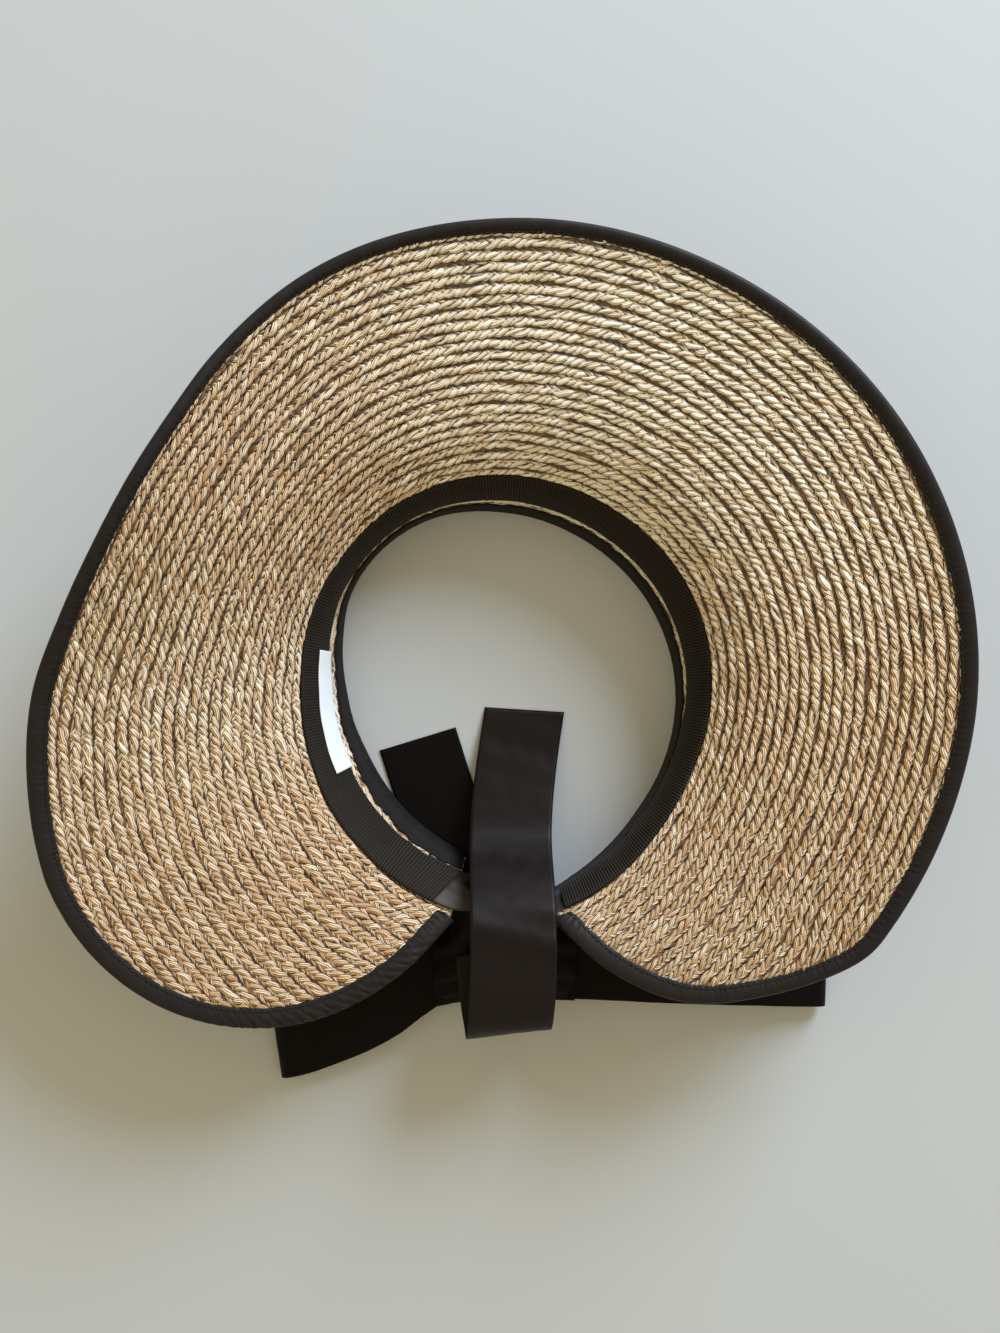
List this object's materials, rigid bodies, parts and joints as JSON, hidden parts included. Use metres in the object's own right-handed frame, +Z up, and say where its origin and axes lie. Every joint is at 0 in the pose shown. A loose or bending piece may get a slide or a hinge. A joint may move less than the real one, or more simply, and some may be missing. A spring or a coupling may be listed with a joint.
{
  "type": "straw visor",
  "caption": "Wide-brimmed straw visor with an open back and a ribbon bow, lying upside down on its crown edge.",
  "frame": {"origin": "middle of the head opening, on the surface that the visor lies on", "axes": "+Z up, along the head opening's axis and towards the wearer's chin; +Y to the front of the brim; +X to the wearer's left"},
  "size_m": [0.4036, 0.3818, 0.0996],
  "materials": {
    "straw_body": "sewn straw braid, matte with a soft sheen",
    "brim_binding": "near-black bias tape, soft satin",
    "crown_binding": "near-black bias tape, matte",
    "sweatband": "ribbed black ribbon, matte",
    "back_strap": "brown-black satin ribbon",
    "sweatband_label": "plain white woven satin",
    "bow_knot": "black satin ribbon, gathered",
    "bow_loop_left": "black satin ribbon",
    "bow_loop_right": "black satin ribbon",
    "tail_short": "black satin ribbon",
    "tail_long": "black satin ribbon"
  },
  "bodies": {
    "root": {"straw_body": "straw_body", "brim_binding": "brim_binding", "crown_binding": "crown_binding", "sweatband": "sweatband", "back_strap": "back_strap", "sweatband_label": "sweatband_label", "bow_knot": "bow_knot", "bow_loop_left": "bow_loop_left", "bow_loop_right": "bow_loop_right", "tail_short": "tail_short", "tail_long": "tail_long"}
  },
  "joints": []
}
